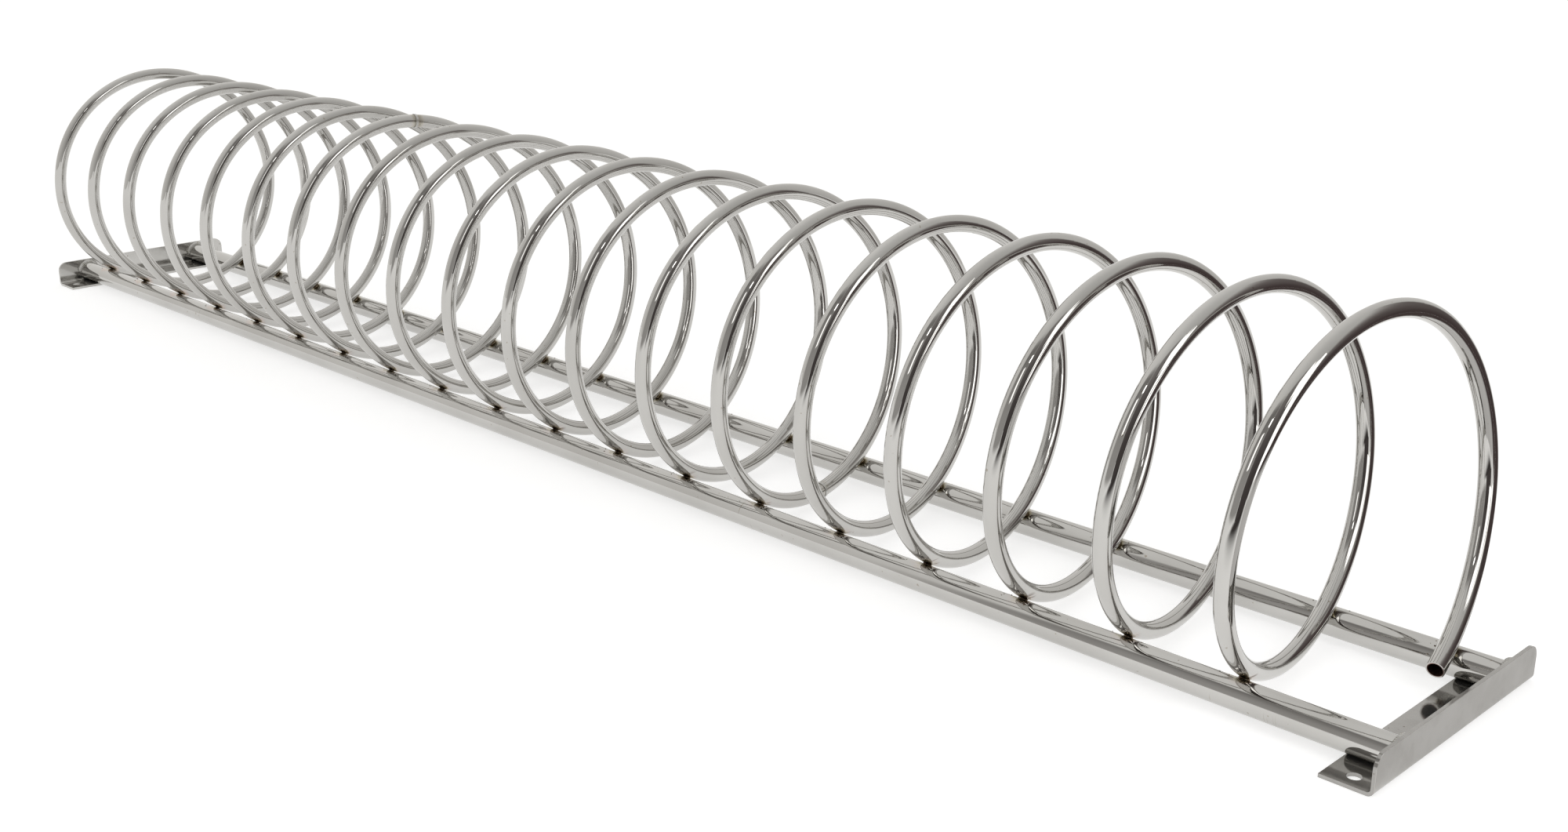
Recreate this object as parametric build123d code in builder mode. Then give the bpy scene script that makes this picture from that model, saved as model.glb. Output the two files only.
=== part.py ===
from build123d import *
import os
from math import acos, ceil, cos, floor, hypot, pi, radians, sin, sqrt

# Spiral bike rack: a tube bent into a row of loops, welded along two floor rails between two angle brackets.
# Millimetres. +X runs along the rails to the end where the spiral starts, +Y to the rear rail, +Z up.
# The origin is on the floor, midway between the two end plates and between the rails.

# Spiral tube
loop_count = 19
loop_radius = 145.0  # spiral axis to the middle of the tube
loop_pitch = 103.0
spiral_tube_diameter = 15.0
spiral_tube_wall = 1.5
first_joint_turn = 5.93  # butt joint between two lengths of tube, in turns after the first rear weld
second_joint_turn = 12.4  # and the next butt joint, in turns too
right_stub_angle = 11.5  # how far the tube runs on before its first rail weld, in degrees
left_stub_angle = 13.0  # and after its last one

# Sleeve and weld of each butt joint
sleeve_length = 60.0
sleeve_wall = 1.0
sleeve_clearance = 0.15
joint_weld_width = 3.0
joint_weld_height = 0.5

# Floor rails
rail_diameter = 25.0
rail_wall = 1.5
rail_spacing = 170.0  # between the middles of the two rails
right_rail_margin = 44.0  # first rear weld to the face of the right plate
left_rail_margin = 65.0  # last front weld to the face of the left plate
rail_seat_gap = 0.3  # under the rail, above the flange
spiral_seat_gap = 0.4  # under the spiral, above the rail

# End brackets, each bent from one strip of sheet
sheet_thickness = 3.0
flange_depth = 42.0  # outer face of the plate to the inner edge of the flange
bend_inner_radius = 3.0
bend_clearance = 0.3
plate_rise = 4.0  # top edge of the plate above the rails
plate_corner_radius = 12.0
ear_length = 30.0  # end of the bracket beyond the side of the rail
bolt_hole_diameter = 11.0
bolt_hole_from_end = 14.0
bolt_hole_from_edge = 20.0

# Welds between the spiral, the rails and the plates
weld_clearance = 0.1
loop_weld_radius = 7.0
loop_weld_half_height = 4.0
rail_weld_height = 3.5
rail_weld_reach = 5.0
rail_weld_arc = 200.0  # over the top of the rail, in degrees

# Places that follow from the sizes above
spiral_tube_radius = spiral_tube_diameter / 2
spiral_bore_radius = spiral_tube_radius - spiral_tube_wall
rail_radius = rail_diameter / 2
rail_offset = rail_spacing / 2
rail_height = sheet_thickness + rail_seat_gap + rail_radius
rail_reach = loop_radius + spiral_tube_radius + spiral_seat_gap + rail_radius
weld_angle = acos(rail_offset / rail_reach)
spiral_height = rail_height + sqrt(rail_reach**2 - rail_offset**2)
front_weld_turn = (pi + 2 * weld_angle) / (2 * pi)
last_weld_turn = loop_count - 1 + front_weld_turn
rail_length = right_rail_margin + loop_pitch * last_weld_turn + left_rail_margin
plate_x = rail_length / 2
first_weld_x = plate_x - right_rail_margin
start_turn = -radians(right_stub_angle) / (2 * pi)
end_turn = last_weld_turn + radians(left_stub_angle) / (2 * pi)

turn_length = hypot(2 * pi * loop_radius, loop_pitch)
pairs_per_turn = 4  # pairs of arcs that draw one turn of the spiral

os.makedirs("parts", exist_ok=True)


def write(part, name):
    """Names a finished piece and writes it to its own file."""
    part.label = name
    export_step(part, f"parts/{name}.step")


def outward(turn):
    """Unit vector from the spiral's axis to its tube, so many turns after the first rear weld."""
    angle = 2 * pi * turn - weld_angle
    return Vector(0, cos(angle), sin(angle))


def spiral_point(turn):
    """Middle of the tube."""
    return Vector(first_weld_x - loop_pitch * turn, 0, spiral_height) + outward(turn) * loop_radius


def spiral_direction(turn):
    """Unit vector along the tube: up at the rear, over the top and down at the front."""
    angle = 2 * pi * turn - weld_angle
    around = Vector(0, -sin(angle), cos(angle)) * (2 * pi * loop_radius)
    return (around - Vector(loop_pitch, 0, 0)).normalized()


def spiral_plane(turn):
    """Plane square to the tube."""
    return Plane(origin=spiral_point(turn), x_dir=outward(turn), z_dir=spiral_direction(turn))


def draw_spiral(start, end):
    """Draws the middle line of the tube as pairs of tangent arcs, at most a quarter turn to a pair."""
    first_knot = floor(pairs_per_turn * start) + 1
    last_knot = ceil(pairs_per_turn * end)
    knots = [start, *[knot / pairs_per_turn for knot in range(first_knot, last_knot)], end]
    for here, there in zip(knots, knots[1:]):
        chord = spiral_point(there) - spiral_point(here)
        leaving = spiral_direction(here)
        arriving = spiral_direction(there)
        bend = 2 * (1 - leaving.dot(arriving))
        along = chord.dot(leaving + arriving)
        leg = (sqrt(along**2 + bend * chord.dot(chord)) - along) / bend
        first_corner = spiral_point(here) + leaving * leg
        second_corner = spiral_point(there) - arriving * leg
        middle = (first_corner + second_corner) / 2
        TangentArc(spiral_point(here), middle, tangent=leaving)
        TangentArc(middle, spiral_point(there), tangent=second_corner - first_corner)


def spiral_tube(start, end, outer_radius, bore_radius):
    """Length of round tube along the spiral."""
    with BuildPart() as tube:
        with BuildLine():
            draw_spiral(start, end)
        with BuildSketch(spiral_plane(start)):
            Circle(outer_radius)
            Circle(bore_radius, mode=Mode.SUBTRACT)
        sweep()
    return tube.part


# Butt joints that a spiral of this many loops has
joint_turns = [turn for turn in (first_joint_turn, second_joint_turn) if turn < last_weld_turn]

# Loops, each from one rear weld to the next, except where a butt joint parts the tube instead
loop_ends = [start_turn, *range(1, loop_count), end_turn]
for joint_turn in joint_turns:
    loop_ends[round(joint_turn)] = joint_turn
for number, (loop_start, loop_end) in enumerate(zip(loop_ends, loop_ends[1:]), start=1):
    loop = spiral_tube(loop_start, loop_end, spiral_tube_radius, spiral_bore_radius)
    write(loop, f"loop_{number:02d}")

# Sleeve inside each butt joint and the weld ring round it
sleeve_radius = spiral_bore_radius - sleeve_clearance
sleeve_half_turns = sleeve_length / turn_length / 2
joint_ring_radius = spiral_tube_radius + weld_clearance
for number, joint_turn in enumerate(joint_turns, start=1):
    sleeve = spiral_tube(
        joint_turn - sleeve_half_turns,
        joint_turn + sleeve_half_turns,
        sleeve_radius,
        sleeve_radius - sleeve_wall,
    )
    write(sleeve, f"joint_sleeve_{number}")
    with BuildPart() as joint_weld:
        with BuildSketch(spiral_plane(joint_turn)):
            Circle(joint_ring_radius + joint_weld_height)
            Circle(joint_ring_radius, mode=Mode.SUBTRACT)
        extrude(amount=joint_weld_width / 2, both=True)
    write(joint_weld.part, f"joint_weld_{number}")

# Floor rails, nipped at the lower edge of each end to clear the brackets' bend
bend_relief = bend_inner_radius + bend_clearance
for rail_name, rail_y in (("front_rail", -rail_offset), ("rear_rail", rail_offset)):
    with BuildPart() as rail:
        with BuildSketch(Plane.YZ.offset(-plate_x)):
            with Locations((rail_y, rail_height)):
                Circle(rail_radius)
                Circle(rail_radius - rail_wall, mode=Mode.SUBTRACT)
        extrude(amount=rail_length)
        with Locations((-plate_x, rail_y, sheet_thickness), (plate_x, rail_y, sheet_thickness)):
            Box(2 * bend_relief, rail_diameter, 2 * bend_relief, mode=Mode.SUBTRACT)
    write(rail.part, rail_name)

# Angle brackets: plate outside the rails' ends, flange under them, a bolt hole in each ear
bracket_width = rail_spacing + rail_diameter + 2 * ear_length
plate_top = rail_height + rail_radius + plate_rise
flange_edge_x = plate_x + sheet_thickness - flange_depth
bolt_x = flange_edge_x + bolt_hole_from_edge
bolt_y = bracket_width / 2 - bolt_hole_from_end
with BuildPart() as right_bracket:
    with BuildSketch(Plane.XZ):
        with BuildLine():
            FilletPolyline(
                (plate_x, plate_top),
                (plate_x, sheet_thickness),
                (flange_edge_x, sheet_thickness),
                radius=bend_inner_radius,
            )
            offset(amount=sheet_thickness, side=Side.LEFT)
        make_face()
    extrude(amount=bracket_width / 2, both=True)
    top_corners = right_bracket.edges().filter_by(Axis.X).group_by(Axis.Z)[-1]
    fillet(top_corners, radius=plate_corner_radius)
    with Locations((bolt_x, -bolt_y, sheet_thickness), (bolt_x, bolt_y, sheet_thickness)):
        Hole(bolt_hole_diameter / 2)
write(right_bracket.part, "right_bracket")

with BuildPart() as left_bracket:
    mirror(right_bracket.part, about=Plane.YZ)
write(left_bracket.part, "left_bracket")


def loop_weld(turn):
    """Bead that fills the crevice round the point where the spiral crosses a rail."""
    contact = spiral_point(turn) + outward(turn) * (spiral_tube_radius + spiral_seat_gap / 2)
    across = Vector(1, 0, 0).cross(outward(turn))
    cutter_start = turn - 1 / (2 * pairs_per_turn)
    cutter_end = turn + 1 / (2 * pairs_per_turn)
    with BuildPart() as bead:
        with BuildSketch(Plane(origin=contact, x_dir=(1, 0, 0), z_dir=across)):
            Ellipse(loop_weld_radius, loop_weld_half_height)
            split(bisect_by=Plane.YZ)
        revolve(axis=Axis(contact, outward(turn)))
        with BuildLine():
            draw_spiral(cutter_start, cutter_end)
        with BuildSketch(spiral_plane(cutter_start)):
            Circle(spiral_tube_radius + weld_clearance)
        sweep(mode=Mode.SUBTRACT)
        with BuildSketch(Plane.YZ.offset(contact.X - loop_weld_radius)):
            with Locations((outward(turn).Y * rail_reach, rail_height)):
                Circle(rail_radius + weld_clearance)
        extrude(amount=2 * loop_weld_radius, mode=Mode.SUBTRACT)
    return bead.part


# One bead at every crossing of the spiral and a rail
for weld_name, weld_turn in (("rear_loop_welds", 0), ("front_loop_welds", front_weld_turn)):
    first_bead = loop_weld(weld_turn)
    with BuildPart() as loop_welds:
        with Locations(*[(-loop_pitch * count, 0, 0) for count in range(loop_count)]):
            add(first_bead)
    write(loop_welds.part, weld_name)

# Fillet weld over each end of a rail, where it meets the plate
weld_tilt = -rail_weld_arc / 2
ring_radius = rail_radius + weld_clearance
for end_name, end in (("right", 1), ("left", -1)):
    for side_name, side in (("front", -1), ("rear", 1)):
        rail_end = (end * plate_x, side * rail_offset, rail_height)
        upright = Plane(origin=rail_end, x_dir=(1, 0, 0), z_dir=(0, -1, 0))
        with BuildPart() as rail_weld:
            with BuildSketch(upright.rotated((weld_tilt, 0, 0))):
                with BuildLine():
                    Polyline(
                        (0, ring_radius),
                        (0, ring_radius + rail_weld_height),
                        (-end * rail_weld_reach, ring_radius),
                        close=True,
                    )
                make_face()
            revolve(axis=Axis(rail_end, (1, 0, 0)), revolution_arc=rail_weld_arc)
        write(rail_weld.part, f"{end_name}_{side_name}_rail_weld")

# Least gap of the spiral to itself, measured from one loop to points along the next
steps_per_turn = 180
half_steps = steps_per_turn // 2
next_loop = [spiral_point(1 + step / steps_per_turn) for step in range(-half_steps, half_steps)]
least_gap = min((point - spiral_point(0)).length for point in next_loop) - spiral_tube_diameter
rack_length = rail_length + 2 * sheet_thickness
print(f"least gap between loops {least_gap:.1f} mm, length of the rack {rack_length:.1f} mm")
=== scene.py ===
import math
import random

import bmesh
import bpy
from mathutils import Matrix, Vector


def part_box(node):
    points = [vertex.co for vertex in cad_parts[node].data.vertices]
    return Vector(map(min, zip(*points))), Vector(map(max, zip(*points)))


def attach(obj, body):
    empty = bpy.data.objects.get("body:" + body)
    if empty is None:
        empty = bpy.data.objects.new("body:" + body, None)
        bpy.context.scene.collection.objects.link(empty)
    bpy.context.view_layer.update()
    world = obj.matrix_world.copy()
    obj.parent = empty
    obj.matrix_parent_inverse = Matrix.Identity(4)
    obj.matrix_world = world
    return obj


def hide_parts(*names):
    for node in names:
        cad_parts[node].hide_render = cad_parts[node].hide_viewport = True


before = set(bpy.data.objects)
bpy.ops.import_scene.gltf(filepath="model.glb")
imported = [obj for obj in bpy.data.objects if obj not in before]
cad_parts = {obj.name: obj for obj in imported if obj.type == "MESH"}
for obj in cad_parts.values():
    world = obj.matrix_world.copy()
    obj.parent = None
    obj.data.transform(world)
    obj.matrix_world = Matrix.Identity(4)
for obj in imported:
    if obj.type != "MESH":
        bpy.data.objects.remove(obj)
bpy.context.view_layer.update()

# The spiral bike rack's looks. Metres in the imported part's frame: +X along the rails, +Y rearward, +Z up

# Sizes of the rails and end plates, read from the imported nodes
rail_low, rail_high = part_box("front_rail")
rail_radius = (rail_high.y - rail_low.y) / 2
rail_y = -(rail_high.y + rail_low.y) / 2
rail_z = (rail_high.z + rail_low.z) / 2
plate_x = rail_high.x
plate_outer_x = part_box("right_bracket")[1].x
end_weld_low, end_weld_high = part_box("right_front_rail_weld")
end_weld_reach = end_weld_high.x - end_weld_low.x
end_weld_height = end_weld_high.z - rail_z - rail_radius
end_weld_arc = math.radians(200)

# Sizes of the spiral: a turn starts at a rear weld and runs over the top to the front
tube_radius = 0.0075
tube_bore = 0.0060
loop_low, loop_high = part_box("loop_04")
pitch = loop_high.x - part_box("loop_05")[1].x
loop_radius = -loop_low.y - tube_radius
axis_z = loop_high.z - loop_radius - tube_radius
turn_length = math.hypot(pitch, 2 * math.pi * loop_radius)
lead_cosine = 2 * math.pi * loop_radius / turn_length
first_weld_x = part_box("loop_02")[1].x - tube_radius * lead_cosine + pitch
weld_angle = math.acos(rail_y / math.hypot(rail_y, axis_z - rail_z))
front_weld_turn = (math.pi + 2 * weld_angle) / (2 * math.pi)
weld_count = 19
joint_turns = (5.93, 12.40)

# Sizes of the weld beads, at the rear (1) and in front (-1)
bead_along_rail = {1: 0.0046, -1: 0.0042}
bead_along_tube = {1: 0.0036, -1: 0.0015}

# Form of a bead: a lumpy outline and a swollen, rippled side that narrows from the rail to the tube
bead_sink = 0.0003
bead_core_sink = 4 * bead_sink
bead_size = (0.92, 1.06)
bead_lump = 0.055
bead_lump_orders = (2, 3, 5, 7)
bead_swell = 0.14
bead_ripple = 0.00024
bead_ripples = 15
bead_ripple_slant = 2.5
bead_narrowing_across = 0.80
bead_narrowing_along = 0.82
bead_reach_round_tube = 0.0062
bead_steps = 48
bead_rings = 8

# Form of the spatter: drops on the rail, on both sides of a bead
spatter_count = (3, 6)
spatter_away = (0.009, 0.019)
spatter_lean = 0.9
spatter_width = (0.75, 1.0)
spatter_depth = (0.5, 0.75)
spatter_radius = (0.0003, 0.0009)
spatter_lump = 0.12

# Form of the fillets at the rails' ends
end_weld_ripples = 24
end_weld_ripple = 0.13
end_weld_valley = 0.90
end_weld_wander = 0.04
end_weld_wander_orders = (3, 7)
end_weld_bulge = 0.16
end_weld_taper = 9
end_weld_tip = 0.05
end_weld_steps = 6 * end_weld_ripples
end_weld_corners = 8

# How far the welds' heat and soot reach on the steel, and how strongly the two butt joints are tinted
front_heat_on_spiral = 0.0090
front_heat_on_rail = 0.0125
rear_heat = 0.0095
soot_line_start = (0.001, 0.004)
soot_line_end = (0.0125, 0.0065)
burnt_weld_reach = (0.016, 0.020)
joint_heat = (0.008, 0.010)
joint_tint = (0.25, 0.60)

# Depth of the bore's rust into the wall, of the plates' satin faces and of the sheet's rounded edges
bore_rust = (0.0007, 0.0004)
satin_face = (0.0006, 0.0002)
sheet_edge = 0.0004

# Heights of the fine relief: waves in the tubes and the sheet, grain on the plates and scale on the welds
tube_wave = 0.00005
sheet_wave = 0.00008
plate_grain = 0.000012
weld_scale = 0.0003

X_AXIS = Vector((1, 0, 0))


def spiral_point(turn):
    """The middle of the spiral tube at a number of turns past its first rear weld."""
    angle = 2 * math.pi * turn - weld_angle
    return Vector((
        first_weld_x - pitch * turn,
        loop_radius * math.cos(angle),
        axis_z + loop_radius * math.sin(angle),
    ))


def spiral_direction(turn):
    """The direction in which the tube runs there."""
    angle = 2 * math.pi * turn - weld_angle
    around = Vector((0, -math.sin(angle), math.cos(angle)))
    return (around * lead_cosine * turn_length - X_AXIS * pitch).normalized()


def weld_inward(side):
    """The direction from a rail's axis to the tube that crosses it. side is 1 at the rear, -1 in front."""
    return Vector((0, -side * math.cos(weld_angle), math.sin(weld_angle)))


class Graph:
    """A shader node tree, built with short calls. A value is a number, a tuple or another node's socket."""

    def __init__(self, tree):
        self.tree = tree
        tree.nodes.clear()

    def feed(self, socket, value):
        if isinstance(value, bpy.types.NodeSocket):
            self.tree.links.new(value, socket)
        else:
            socket.default_value = value

    def node(self, kind, inputs=None, **settings):
        made = self.tree.nodes.new("ShaderNode" + kind)
        for name, value in settings.items():
            setattr(made, name, value)
        for name, value in (inputs or {}).items():
            self.feed(made.inputs[name], value)
        return made

    def math(self, operation, *values):
        made = self.node("Math", operation=operation)
        for socket, value in zip(made.inputs, values):
            self.feed(socket, value)
        return made.outputs[0]

    def add(self, *values):
        total = values[0]
        for value in values[1:]:
            total = self.math("ADD", total, value)
        return total

    def times(self, *values):
        product = values[0]
        for value in values[1:]:
            product = self.math("MULTIPLY", product, value)
        return product

    def minus(self, first, second):
        return self.math("SUBTRACT", first, second)

    def over(self, first, second):
        return self.math("DIVIDE", first, second)

    def vector(self, x, y, z):
        return self.node("CombineXYZ", {"X": x, "Y": y, "Z": z}).outputs[0]

    def length(self, vector):
        return self.node("VectorMath", {0: vector}, operation="LENGTH").outputs["Value"]

    def split(self, vector):
        return self.node("SeparateXYZ", {"Vector": vector}).outputs

    def stretch(self, vector, scale):
        return self.node("Mapping", {"Vector": vector, "Scale": scale}).outputs[0]

    def noise(self, vector, scale, detail=3.0, roughness=0.5):
        inputs = {"Vector": vector, "Scale": scale, "Detail": detail, "Roughness": roughness}
        return self.node("TexNoise", inputs).outputs["Fac"]

    def fade(self, value, start, end, low=0.0, high=1.0):
        """A smooth step: low where value is at start, high where it is at end."""
        inputs = {"Value": value, "From Min": start, "From Max": end, "To Min": low, "To Max": high}
        return self.node("MapRange", inputs, interpolation_type="SMOOTHSTEP").outputs[0]

    def ramp(self, value, stops):
        """Colours by value, from a list of (position, colour)."""
        made = self.node("ValToRGB", {"Fac": value})
        elements = made.color_ramp.elements
        while len(elements) < len(stops):
            elements.new(0.5)
        for element, (position, colour) in zip(elements, stops):
            element.position = position
            element.color = (*colour, 1.0)
        return made.outputs["Color"]

    def blend(self, share, first, second):
        """A mix of two colours: the first where share is 0, the second where it is 1."""
        made = self.node("Mix", data_type="RGBA")
        # Inputs 6 and 7 and output 2 are the node's colour sockets
        sockets = made.inputs["Factor"], made.inputs[6], made.inputs[7]
        for socket, value in zip(sockets, (share, first, second)):
            self.feed(socket, (*value, 1.0) if isinstance(value, tuple) else value)
        return made.outputs[2]

    def bump(self, height, distance, normal=None):
        inputs = {"Height": height, "Distance": distance}
        if normal is not None:
            inputs["Normal"] = normal
        return self.node("Bump", inputs).outputs[0]


# Colours of polished stainless steel and of its heat tints
STEEL = (0.545, 0.536, 0.516)
STEEL_DULL = (0.492, 0.482, 0.461)
# SHEET and SHEET_DULL are darker copies of the steel, used only as painted shade on the right bracket
SHEET = (0.425, 0.416, 0.399)
SHEET_DULL = (0.360, 0.351, 0.335)
SOOT = (0.030, 0.021, 0.016)
BROWN = (0.105, 0.066, 0.044)
BRONZE = (0.255, 0.205, 0.140)
OLIVE = (0.330, 0.310, 0.240)
STRAW = (0.500, 0.462, 0.390)
PINK = (0.545, 0.490, 0.470)
COPPER = (0.560, 0.400, 0.340)
RUST = (0.240, 0.135, 0.112)
RUST_DARK = (0.090, 0.055, 0.048)

# Heat tints, by share of the way from a weld to clean steel
SPIRAL_BURN = [(0.30, SOOT), (0.46, BROWN), (0.60, BRONZE), (0.74, STRAW), (1.0, STEEL)]
RAIL_BURN = [(0.14, BROWN), (0.22, BRONZE), (0.36, OLIVE), (0.66, STRAW), (1.0, STEEL)]
REAR_BURN = [(0.30, BROWN), (0.46, BRONZE), (0.62, OLIVE), (0.78, STRAW), (1.0, STEEL)]
JOINT_BURN = [(0.2, BRONZE), (0.45, OLIVE), (0.65, STRAW), (0.8, PINK), (1.0, STEEL)]

# Roughness of the tubes, of the brackets' polished sheet and of the plates' outer faces
TUBE_ROUGHNESS = 0.035
SHEET_ROUGHNESS = 0.100
SATIN_ROUGHNESS = 0.34


def metal(name, build, metallic):
    """A metal material. build(graph, position) gives its colour, roughness and normal sockets."""
    material = bpy.data.materials.new(name)
    material.use_nodes = True
    graph = Graph(material.node_tree)
    position = graph.node("TexCoord").outputs["Object"]
    colour, roughness, normal = build(graph, position)
    shader = graph.node("BsdfPrincipled", {
        "Base Color": colour, "Metallic": metallic, "Roughness": roughness, "Normal": normal,
    })
    graph.node("OutputMaterial", {"Surface": shader.outputs[0]})
    return material


def spiral_coordinates(graph, position):
    """Straightens the spiral: metres along the tube, outward from its middle and sideways; and the turn."""
    x, y, z = graph.split(position)
    height = graph.minus(z, axis_z)
    angle = graph.math("ARCTAN2", height, y)
    part = graph.math("FRACT", graph.over(graph.add(angle, weld_angle), 2 * math.pi))
    turns_by_x = graph.over(graph.minus(first_weld_x, x), pitch)
    whole = graph.math("ROUND", graph.minus(turns_by_x, part))
    turn = graph.add(whole, part)
    outward = graph.minus(graph.length(graph.vector(0.0, y, height)), loop_radius)
    sideways = graph.times(graph.minus(turns_by_x, turn), pitch)
    return graph.vector(graph.times(turn, turn_length), outward, sideways), turn


def weld_offset(graph, position, side):
    """The vector from the nearest loop weld on one rail, and that weld's number."""
    x, y, z = graph.split(position)
    first_x = first_weld_x - (front_weld_turn * pitch if side < 0 else 0.0)
    number = graph.math("ROUND", graph.over(graph.minus(first_x, x), pitch))
    number = graph.math("MINIMUM", graph.math("MAXIMUM", number, 0.0), weld_count - 1.0)
    weld_x = graph.minus(first_x, graph.times(number, pitch))
    contact = Vector((0, side * rail_y, rail_z)) + weld_inward(side) * rail_radius
    offset = graph.vector(graph.minus(x, weld_x), graph.minus(y, contact.y), graph.minus(z, contact.z))
    return offset, number


def weld_distance(graph, position, side):
    """Metres to the nearest loop weld on one rail."""
    return graph.length(weld_offset(graph, position, side)[0])


def heat_tint(graph, steel, share, stops):
    """Steel colour, burnt where share is near 0 and clean where it is 1."""
    return graph.blend(graph.fade(share, 0.62, 1.0), graph.ramp(share, stops), steel)


def polished(graph, position, straight, front_reach, front_stops):
    """Polished tube: a clouded sheen, fine scratches along it, smudges, specks and heat tints."""
    x = graph.split(position)[0]
    cloud = graph.noise(position, 9.0, 3.0)
    colour = graph.blend(graph.fade(cloud, 0.35, 0.75), STEEL, STEEL_DULL)
    specks = graph.fade(graph.noise(straight, 230.0, 2.0, 0.4), 0.735, 0.775)
    colour = graph.blend(graph.times(specks, 0.55), colour, BRONZE)
    scratches = graph.noise(graph.stretch(straight, (5.0, 800.0, 800.0)), 1.0, 2.0)
    scratched = graph.fade(scratches, 0.60, 0.75)
    smudge = graph.fade(graph.noise(straight, 38.0, 5.0, 0.6), 0.52, 0.75)
    roughness = graph.add(TUBE_ROUGHNESS, graph.times(smudge, 0.045), graph.times(scratched, 0.05))

    # Burnt steel at the welds: pink round the front ones, coppery towards the left end, greener at the rear
    streaks = graph.noise(graph.stretch(straight, (170.0, 420.0, 420.0)), 1.0, 4.0, 0.6)
    uneven = graph.times(graph.minus(streaks, 0.5), 0.95)
    front = graph.add(graph.over(weld_distance(graph, position, -1), front_reach), uneven)
    rear = graph.add(graph.over(weld_distance(graph, position, 1), rear_heat), uneven)
    pink = graph.blend(graph.fade(x, -0.1, -0.9), PINK, COPPER)
    colour = graph.blend(graph.fade(front, 1.25, 0.8, 0.0, 0.55), colour, pink)
    colour = heat_tint(graph, colour, front, front_stops)
    colour = heat_tint(graph, colour, rear, REAR_BURN)
    burnt = graph.fade(graph.math("MINIMUM", front, rear), 0.9, 0.4)
    roughness = graph.add(roughness, graph.times(burnt, 0.28))

    wave = graph.noise(graph.stretch(straight, (16.0, 60.0, 60.0)), 1.0, 1.0)
    normal = graph.bump(wave, tube_wave)
    return colour, roughness, normal


def spiral_steel(graph, position):
    """The spiral's tube: polished outside, rusty in the bore, tinted in rings at the butt joints."""
    straight, turn = spiral_coordinates(graph, position)
    colour, roughness, normal = polished(graph, position, straight, front_heat_on_spiral, SPIRAL_BURN)

    # Fine lines of soot that fan out to the right of each front weld and grow fainter towards the left end
    offset, number = weld_offset(graph, position, -1)
    right, _, rise = graph.split(offset)
    bearing = graph.math("ARCTAN2", rise, right)
    fan = graph.noise(graph.vector(graph.times(bearing, 3.2), graph.times(number, 2.7), 0.0), 1.0, 2.0)
    strength = graph.fade(graph.length(offset), *soot_line_end)
    strength = graph.times(strength, graph.fade(right, *soot_line_start))
    strength = graph.times(strength, graph.fade(graph.split(position)[0], -0.5, 0.6, 0.30, 0.85))
    colour = graph.blend(graph.times(graph.fade(fan, 0.53, 0.60), strength), colour, BROWN)

    # Rings of tint at the butt joints
    uneven = graph.times(graph.minus(graph.noise(position, 240.0, 3.0), 0.5), 0.5)
    for joint_turn, heat, tint in zip(joint_turns, joint_heat, joint_tint):
        away = graph.times(graph.math("ABSOLUTE", graph.minus(turn, joint_turn)), turn_length)
        share = graph.add(graph.over(away, heat), uneven)
        colour = graph.blend(tint, colour, heat_tint(graph, colour, share, JOINT_BURN))

    # Rust in the bore
    _, outward, sideways = graph.split(straight)
    from_middle = graph.length(graph.vector(0.0, outward, sideways))
    inside = graph.fade(from_middle, *(tube_bore + depth for depth in bore_rust))
    rust = graph.ramp(graph.noise(straight, 150.0, 4.0), [(0.35, RUST_DARK), (0.7, RUST)])
    colour = graph.blend(inside, colour, rust)
    return colour, graph.add(roughness, graph.times(inside, 0.4)), normal


def rail_steel(graph, position):
    """The rails: polished, with a few short dark ticks across them."""
    colour, roughness, normal = polished(graph, position, position, front_heat_on_rail, RAIL_BURN)
    ticks = graph.fade(graph.noise(graph.stretch(position, (520.0, 26.0, 26.0)), 1.0, 1.0), 0.735, 0.77)
    patches = graph.fade(graph.noise(position, 7.0, 1.0), 0.56, 0.66)
    return graph.blend(graph.times(ticks, patches, 0.6), colour, BRONZE), roughness, normal


def bracket_steel(graph, position):
    """Sheet: satin on the plates' outer faces, elsewhere polished and pitted, with painted shade on the
    right.
    """
    x = graph.split(position)[0]
    outer = graph.fade(graph.math("ABSOLUTE", x), *(plate_outer_x - depth for depth in satin_face))
    inner = graph.minus(1.0, outer)
    cloud = graph.noise(position, 30.0, 5.0, 0.6)
    clouded = graph.fade(cloud, 0.35, 0.7)
    # Painted shade: away from the plates' outer faces, the right end takes the darker copy of the sheet
    # colour
    pale = graph.math("MAXIMUM", outer, graph.fade(x, 0.5, -0.5))
    painted_shade_sheet = graph.blend(clouded, SHEET, SHEET_DULL)
    pale_sheet = graph.blend(clouded, STEEL, STEEL_DULL)
    colour = graph.blend(pale, painted_shade_sheet, pale_sheet)
    pits = graph.fade(graph.noise(position, 310.0, 1.0), 0.75, 0.79)
    colour = graph.blend(graph.times(pits, inner, 0.8), colour, BROWN)
    grain = graph.noise(graph.stretch(position, (700.0, 14.0, 700.0)), 1.0, 3.0)
    smudge = graph.fade(graph.noise(position, 90.0, 4.0), 0.5, 0.75)
    shine = graph.add(SHEET_ROUGHNESS, graph.times(smudge, 0.06))
    satin = graph.add(SATIN_ROUGHNESS, graph.times(smudge, 0.10))
    roughness = graph.add(graph.times(outer, satin), graph.times(inner, shine))
    edges = graph.node("Bevel", {"Radius": sheet_edge}, samples=4).outputs[0]
    normal = graph.bump(graph.noise(position, 45.0, 2.0), sheet_wave, edges)
    normal = graph.bump(grain, graph.times(outer, plate_grain), normal)
    return colour, roughness, normal


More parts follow.
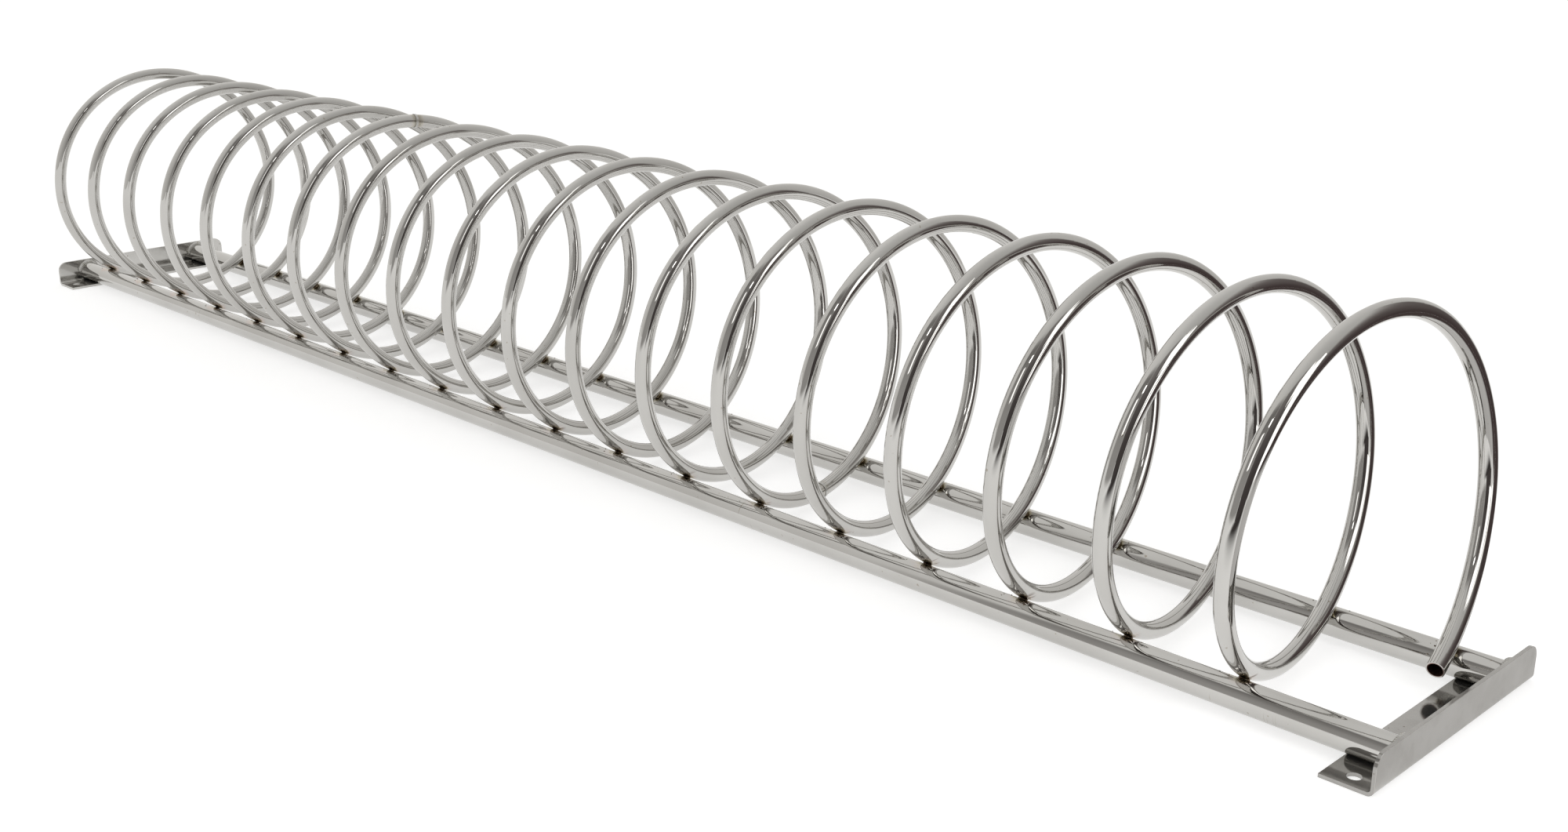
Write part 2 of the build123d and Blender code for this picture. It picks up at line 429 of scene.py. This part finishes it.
def weld_steel(graph, position):
    """Weld metal: silver, but burnt dark where the loops meet the rails, a little paler at the rear."""
    y = graph.split(position)[1]
    scale = graph.noise(position, 420.0, 5.0, 0.65)
    patches = graph.noise(position, 190.0, 3.0)
    mixed = graph.add(graph.times(scale, 0.5), graph.times(patches, 0.5))
    front = graph.ramp(mixed, [(0.38, SOOT), (0.48, BROWN), (0.56, BRONZE), (0.65, OLIVE)])
    rear = graph.ramp(mixed, [(0.34, SOOT), (0.44, BROWN), (0.53, BRONZE), (0.64, OLIVE)])
    burnt = graph.blend(graph.fade(y, -0.01, 0.01), front, rear)
    silver = graph.ramp(mixed, [(0.36, OLIVE), (0.46, STEEL_DULL), (0.6, STEEL)])
    nearest = graph.math("MINIMUM", weld_distance(graph, position, -1), weld_distance(graph, position, 1))
    clean = graph.fade(nearest, *burnt_weld_reach)
    colour = graph.blend(clean, burnt, silver)
    roughness = graph.add(graph.fade(scale, 0.3, 0.7, 0.20, 0.42), graph.times(clean, -0.08))
    normal = graph.bump(scale, weld_scale)
    return colour, roughness, normal


# The materials by slot. The sheet is a little less metallic, because it has a thin haze of dust on it
materials = {slot: metal(slot, build, metallic) for slot, build, metallic in (
    ("spiral_steel", spiral_steel, 1.0),
    ("rail_steel", rail_steel, 1.0),
    ("bracket_steel", bracket_steel, 0.92),
    ("weld_steel", weld_steel, 1.0),
)}
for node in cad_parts.values():
    for slot in node.material_slots:
        slot.material = materials[slot.material.name.split(".")[0]]


def new_piece(name, mesh_work, replaced):
    """Makes a weld piece of a finished mesh. It stands for the named CAD nodes."""
    bmesh.ops.recalc_face_normals(mesh_work, faces=mesh_work.faces)
    mesh = bpy.data.meshes.new(name)
    mesh_work.to_mesh(mesh)
    mesh_work.free()
    mesh.shade_smooth()
    mesh.materials.append(materials["weld_steel"])
    piece = bpy.data.objects.new(name, mesh)
    bpy.context.scene.collection.objects.link(piece)
    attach(piece, "root")
    if replaced:
        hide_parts(*replaced)


def add_rows(mesh_work, rows):
    """Joins closed rows of vertices with faces, each row to the next."""
    count = len(rows[0])
    for lower, upper in zip(rows, rows[1:]):
        for i in range(count):
            j = (i + 1) % count
            mesh_work.faces.new((lower[i], lower[j], upper[j], upper[i]))


def add_fan(mesh_work, tip, row):
    """Closes a ring of vertices onto one tip."""
    for first, second in zip(row, row[1:] + row[:1]):
        mesh_work.faces.new((tip, first, second))


def add_loop_weld(mesh_work, turn, side, chance):
    """A lumpy, rippled fillet round the place where the spiral crosses a rail."""
    centre = spiral_point(turn)
    inward = weld_inward(side)
    across = inward.cross(X_AXIS)
    run = spiral_direction(turn)
    run = run if run.dot(across) > 0 else -run
    beside = run.cross(inward)
    rail_centre = Vector((centre.x, side * rail_y, rail_z))
    phases = [chance.uniform(0, 2 * math.pi) for _ in range(len(bead_lump_orders) + 1)]
    size = chance.uniform(*bead_size)
    rows = []
    for ring in range(bead_rings + 1):
        share = ring / bead_rings
        row = []
        for step in range(bead_steps):
            angle = 2 * math.pi * step / bead_steps
            along_x, along_tube = math.cos(angle), math.sin(angle)
            waves = [math.sin(order * angle + phase) for order, phase in zip(bead_lump_orders, phases)]
            outline = 1 / math.hypot(along_x / bead_along_rail[side], along_tube / bead_along_tube[side])
            reach = size * (1 + bead_lump * sum(waves)) * outline
            a, b = reach * along_x, reach * along_tube
            rail_toe = rail_centre + X_AXIS * a + across * b
            rail_toe += inward * (math.sqrt(rail_radius**2 - b**2) - bead_sink)
            q = max(-bead_reach_round_tube, min(bead_reach_round_tube, bead_narrowing_across * a))
            s = bead_narrowing_along * b
            tube_toe = centre + run * s + beside * q
            tube_toe -= inward * (math.sqrt(tube_radius**2 - q**2) - bead_sink - s**2 / (2 * loop_radius))
            ripple = bead_ripple * math.sin(bead_ripples * angle + phases[-1] + bead_ripple_slant * share)
            swell = math.sin(math.pi * share) * (bead_swell * reach + ripple)
            row.append(mesh_work.verts.new(
                rail_toe.lerp(tube_toe, share) + (X_AXIS * along_x + across * along_tube) * swell
            ))
        rows.append(row)
    add_rows(mesh_work, rows)
    add_fan(mesh_work, mesh_work.verts.new(rail_centre + inward * (rail_radius - bead_core_sink)), rows[0])
    add_fan(mesh_work, mesh_work.verts.new(centre - inward * (tube_radius - bead_core_sink)), rows[-1])


def add_spatter(mesh_work, turn, side, chance):
    """A few flattened drops of weld metal on the rail beside a loop weld."""
    centre = spiral_point(turn)
    inward = weld_inward(side)
    across = inward.cross(X_AXIS)
    for _ in range(chance.randint(*spatter_count)):
        away = chance.choice((-1, 1)) * chance.uniform(*spatter_away)
        lean = chance.uniform(-spatter_lean, spatter_lean)
        normal = inward * math.cos(lean) + across * math.sin(lean)
        place = Vector((centre.x + away, side * rail_y, rail_z)) + normal * rail_radius
        turned = normal.to_track_quat("Z", "Y").to_matrix().to_4x4()
        flat = Matrix.Diagonal((1.0, chance.uniform(*spatter_width), chance.uniform(*spatter_depth), 1.0))
        drop = bmesh.ops.create_icosphere(
            mesh_work, subdivisions=2, radius=chance.uniform(*spatter_radius),
            matrix=Matrix.Translation(place) @ turned @ flat,
        )
        for vertex in drop["verts"]:
            vertex.co += (vertex.co - place) * chance.uniform(-spatter_lump, spatter_lump)


def add_end_weld(mesh_work, end, side, chance):
    """A fillet of overlapping ripples over the top of a rail's end, against the plate."""
    phases = [chance.uniform(0, 2 * math.pi) for _ in end_weld_wander_orders]
    rows = []
    for step in range(end_weld_steps + 1):
        share = step / end_weld_steps
        angle = (share - 0.5) * end_weld_arc
        radial = Vector((0, math.sin(angle), math.cos(angle)))
        taper = math.sqrt(min(1.0, end_weld_taper * min(share, 1 - share) + end_weld_tip))
        waves = [math.sin(order * angle + phase) for order, phase in zip(end_weld_wander_orders, phases)]
        ripple = end_weld_valley + end_weld_ripple * abs(math.sin(math.pi * end_weld_ripples * share))
        size = taper * (ripple + end_weld_wander * sum(waves))
        row = []
        for corner in range(end_weld_corners + 1):
            part = corner / end_weld_corners
            bulge = end_weld_bulge * math.sin(math.pi * part)
            out = end_weld_reach * size * (part + bulge) if corner else -bead_sink
            up = end_weld_height * size * (1 - part + bulge) if corner < end_weld_corners else -bead_sink
            row.append((out, up))
        row.append((-bead_sink, -bead_sink))
        rows.append([mesh_work.verts.new(
            Vector((end * (plate_x - out), side * rail_y, rail_z)) + radial * (rail_radius + up)
        ) for out, up in row])
    add_rows(mesh_work, rows)
    mesh_work.faces.new(rows[0])
    mesh_work.faces.new(rows[-1])


# Weld beads and spatter along both rails
chance = random.Random(19)
spatter = bmesh.new()
for rail_name, side, first_turn in (("rear", 1, 0.0), ("front", -1, front_weld_turn)):
    beads = bmesh.new()
    for number in range(weld_count):
        add_loop_weld(beads, first_turn + number, side, chance)
        add_spatter(spatter, first_turn + number, side, chance)
    new_piece(f"{rail_name}_weld_beads", beads, [f"{rail_name}_loop_welds"])
new_piece("weld_spatter", spatter, [])

# Weld beads at the rails' ends
for end_name, end in (("right", 1), ("left", -1)):
    for rail_name, side in (("front", -1), ("rear", 1)):
        bead = bmesh.new()
        add_end_weld(bead, end, side, chance)
        new_piece(f"{end_name}_{rail_name}_end_bead", bead, [f"{end_name}_{rail_name}_rail_weld"])


def studio_world():
    """Pale walls, brightest on the left and dimmest on the right, and a soft grey ceiling."""
    world = bpy.data.worlds.new("studio")
    bpy.context.scene.world = world
    world.use_nodes = True
    graph = Graph(world.node_tree)
    x, y, z = graph.split(graph.node("TexCoord").outputs["Generated"])
    elevation = graph.math("ARCSINE", z)
    # Brightness of the walls, by degrees from the front (-Y), positive towards the right (+X)
    around = graph.math("ARCTAN2", x, graph.times(y, -1.0))
    levels = (
        (-180, 0.76), (-150, 0.82), (-130, 0.92), (-105, 0.95), (-80, 0.92), (-60, 0.85), (-30, 0.78),
        (0, 0.70), (30, 0.56), (80, 0.54), (112, 0.57), (128, 0.64), (150, 0.73), (180, 0.76),
    )
    paint = (1.0, 0.985, 0.96)
    stops = [(0.5 + degrees / 360, tuple(level * part for part in paint)) for degrees, level in levels]
    walls = graph.ramp(graph.add(graph.over(around, 2 * math.pi), 0.5), stops)
    ceiling = graph.blend(graph.fade(x, -0.7, 0.5), (0.92, 0.914, 0.898), (0.70, 0.695, 0.682))
    walls = graph.blend(graph.fade(elevation, math.radians(10), math.radians(74)), walls, ceiling)
    light = graph.node("Background", {"Color": walls, "Strength": 1.0})
    graph.node("OutputWorld", {"Surface": light.outputs[0]})


def pale_floor():
    """A white floor, seen and mirrored as white, that still takes the rack's shadow."""
    half = 60.0
    mesh = bpy.data.meshes.new("floor")
    corners = [(-half, -half, 0), (half, -half, 0), (half, half, 0), (-half, half, 0)]
    mesh.from_pydata(corners, [], [(0, 1, 2, 3)])
    floor = bpy.data.objects.new("floor", mesh)
    bpy.context.scene.collection.objects.link(floor)
    material = bpy.data.materials.new("pale_floor")
    material.use_nodes = True
    graph = Graph(material.node_tree)
    path = graph.node("LightPath").outputs
    seen = graph.math("MAXIMUM", path["Is Camera Ray"], path["Is Glossy Ray"])
    seen = graph.math("MAXIMUM", seen, path["Is Transmission Ray"])
    place = graph.node("TexCoord").outputs["Object"]
    speck = graph.noise(place, 3.0)
    paint = graph.blend(speck, (0.60, 0.60, 0.60), (0.62, 0.62, 0.62))
    diffuse = graph.node("BsdfDiffuse", {"Color": paint})
    glow = graph.node("Emission", {"Color": (1.0, 1.0, 1.0, 1.0), "Strength": graph.times(seen, 0.58)})
    both = graph.node("AddShader", {0: diffuse.outputs[0], 1: glow.outputs[0]})
    graph.node("OutputMaterial", {"Surface": both.outputs[0]})
    mesh.materials.append(material)


def standing(start, end, height):
    """The corners of an upright card over a line on the floor."""
    return [(*start, 0), (*end, 0), (*end, height), (*start, height)]


def lying(lift, *places):
    """The corners of a card that lies just above the floor."""
    return [(*place, lift) for place in places]


def mirrored_card(name, corners, low, high, soft):
    """A grey or dark card that glows with its own tone and is seen only in polished steel: a painted
    reflection.

    low and high are its tones at the foot and the top. It fades out over the shares of its size that soft
    gives for its start, end, foot and top.
    """
    mesh = bpy.data.meshes.new(name)
    mesh.from_pydata(corners, [], [(0, 1, 2, 3)])
    for corner, place in zip(mesh.uv_layers.new(name="spread").data, ((0, 0), (1, 0), (1, 1), (0, 1))):
        corner.uv = place
    card = bpy.data.objects.new(name, mesh)
    bpy.context.scene.collection.objects.link(card)
    material = bpy.data.materials.new(name)
    material.use_nodes = True
    graph = Graph(material.node_tree)
    spread = graph.node("TexCoord").outputs["UV"]
    along, up, _ = graph.split(spread)
    cover = graph.times(
        graph.fade(along, 0.0, soft[0]), graph.fade(along, 1.0, 1.0 - soft[1]),
        graph.fade(up, 0.0, soft[2]), graph.fade(up, 1.0, 1.0 - soft[3]),
    )
    rise = graph.add(up, graph.times(graph.minus(graph.noise(spread, 4.0), 0.5), 0.3))
    tone = graph.blend(graph.fade(rise, 0.05, 0.7), low, high)
    glow = graph.node("Emission", {"Color": tone}).outputs[0]
    clear = graph.node("BsdfTransparent").outputs[0]
    both = graph.node("MixShader", {0: cover, 1: clear, 2: glow}).outputs[0]
    graph.node("OutputMaterial", {"Surface": both})
    mesh.materials.append(material)
    card.visible_camera = card.visible_diffuse = card.visible_transmission = card.visible_shadow = False


def softbox(name, place, aim, width, height, power, roll=0.0):
    """A rectangular lamp at a place, turned towards a point and rolled about that line."""
    data = bpy.data.lights.new(name, "AREA")
    data.shape = "RECTANGLE"
    data.size, data.size_y, data.energy = width, height, power
    lamp = bpy.data.objects.new(name, data)
    lamp.location = place
    lamp.rotation_mode = "QUATERNION"
    level = (Vector(aim) - Vector(place)).to_track_quat("-Z", "Y")
    lamp.rotation_quaternion = level @ Matrix.Rotation(roll, 3, "Z").to_quaternion()
    bpy.context.scene.collection.objects.link(lamp)


def camera():
    """Stands at the rack's right-hand front corner and looks along it, a little down."""
    place = Vector((1.5010, -1.1699, 0.6192))
    aim = Vector((0.3329, 0.0, 0.0844))
    roll = math.radians(0.15)
    data = bpy.data.cameras.new("camera")
    data.sensor_width = 36.0
    data.lens = 40.93
    made = bpy.data.objects.new("camera", data)
    made.location = place
    made.rotation_mode = "QUATERNION"
    level = (aim - place).to_track_quat("-Z", "Y")
    made.rotation_quaternion = level @ Matrix.Rotation(roll, 3, "Z").to_quaternion()
    bpy.context.scene.collection.objects.link(made)
    bpy.context.scene.camera = made


studio_world()
pale_floor()

# The cards that the steel mirrors: two upright ones in front, one at the rear and three on the floor
# They glow and are painted reflections of a dim room and of shade on its floor
front_corner = (1.16, -1.0)
rear_corner = (1.0, 0.56)
card_lift = 0.0006
under_card_lift = 0.0003
mirrored_card(
    "front_card", standing((-0.25, -1.0), front_corner, 2.0),
    low=(0.440, 0.428, 0.416), high=(0.255, 0.245, 0.236), soft=(0.22, 0.001, 0.055, 0.35),
)
mirrored_card(
    "corner_card", standing(front_corner, (1.82, -0.30), 2.0),
    low=(0.080, 0.070, 0.068), high=(0.270, 0.252, 0.245), soft=(0.10, 0.05, 0.001, 0.30),
)
mirrored_card(
    "corner_floor_card", lying(card_lift, (1.12, -0.15), (1.88, -0.32), (1.05, -1.12), (0.50, -0.64)),
    low=(0.058, 0.052, 0.050), high=(0.066, 0.058, 0.056), soft=(0.60, 0.01, 0.15, 0.40),
)
mirrored_card(
    "rear_card", standing(rear_corner, (2.6, 0.26), 1.10),
    low=(0.084, 0.064, 0.063), high=(0.240, 0.216, 0.210), soft=(0.06, 0.02, 0.001, 0.50),
)
mirrored_card(
    "rear_floor_card", lying(card_lift, (0.93, 0.31), (1.62, -0.08), (2.6, 0.24), rear_corner),
    low=(0.080, 0.062, 0.060), high=(0.090, 0.068, 0.066), soft=(0.04, 0.02, 0.25, 0.001),
)
# Painted shade: a grey card that stands for the rack's shadow on the floor under the right end, seen in the
# steel
mirrored_card(
    "right_floor_shade_card", lying(under_card_lift, (1.03, -0.16), (1.62, -0.22), (1.70, 0.05), (0.95, 0.33)),
    low=(0.68, 0.67, 0.66), high=(0.74, 0.73, 0.72), soft=(0.03, 0.25, 0.10, 0.10),
)

# The lamps: three beyond the right end and two in front
softbox("key", (1.35, -0.08, 0.37), aim=(0.0, -0.08, 0.37), width=0.23, height=0.48, power=0.66)
softbox("key_top", (1.34, -0.20, 0.66), aim=(0.0, -0.20, 0.66), width=0.19, height=0.30, power=0.34)
softbox("window", (3.0, -0.04, 1.10), aim=(0.0, -0.04, 1.10), width=0.30, height=2.2, power=3.2)
softbox("front_panel", (0.75, -0.98, 0.58), aim=(0.75, 0.0, 0.30), width=0.24, height=0.60, power=0.76)
softbox(
    "small_lamp", (1.06, -0.94, 1.03), aim=(0.5, -0.1, 0.20), width=0.20, height=0.10, power=0.25,
    roll=math.radians(-25),
)
camera()
bpy.context.scene.view_settings.view_transform = "Standard"
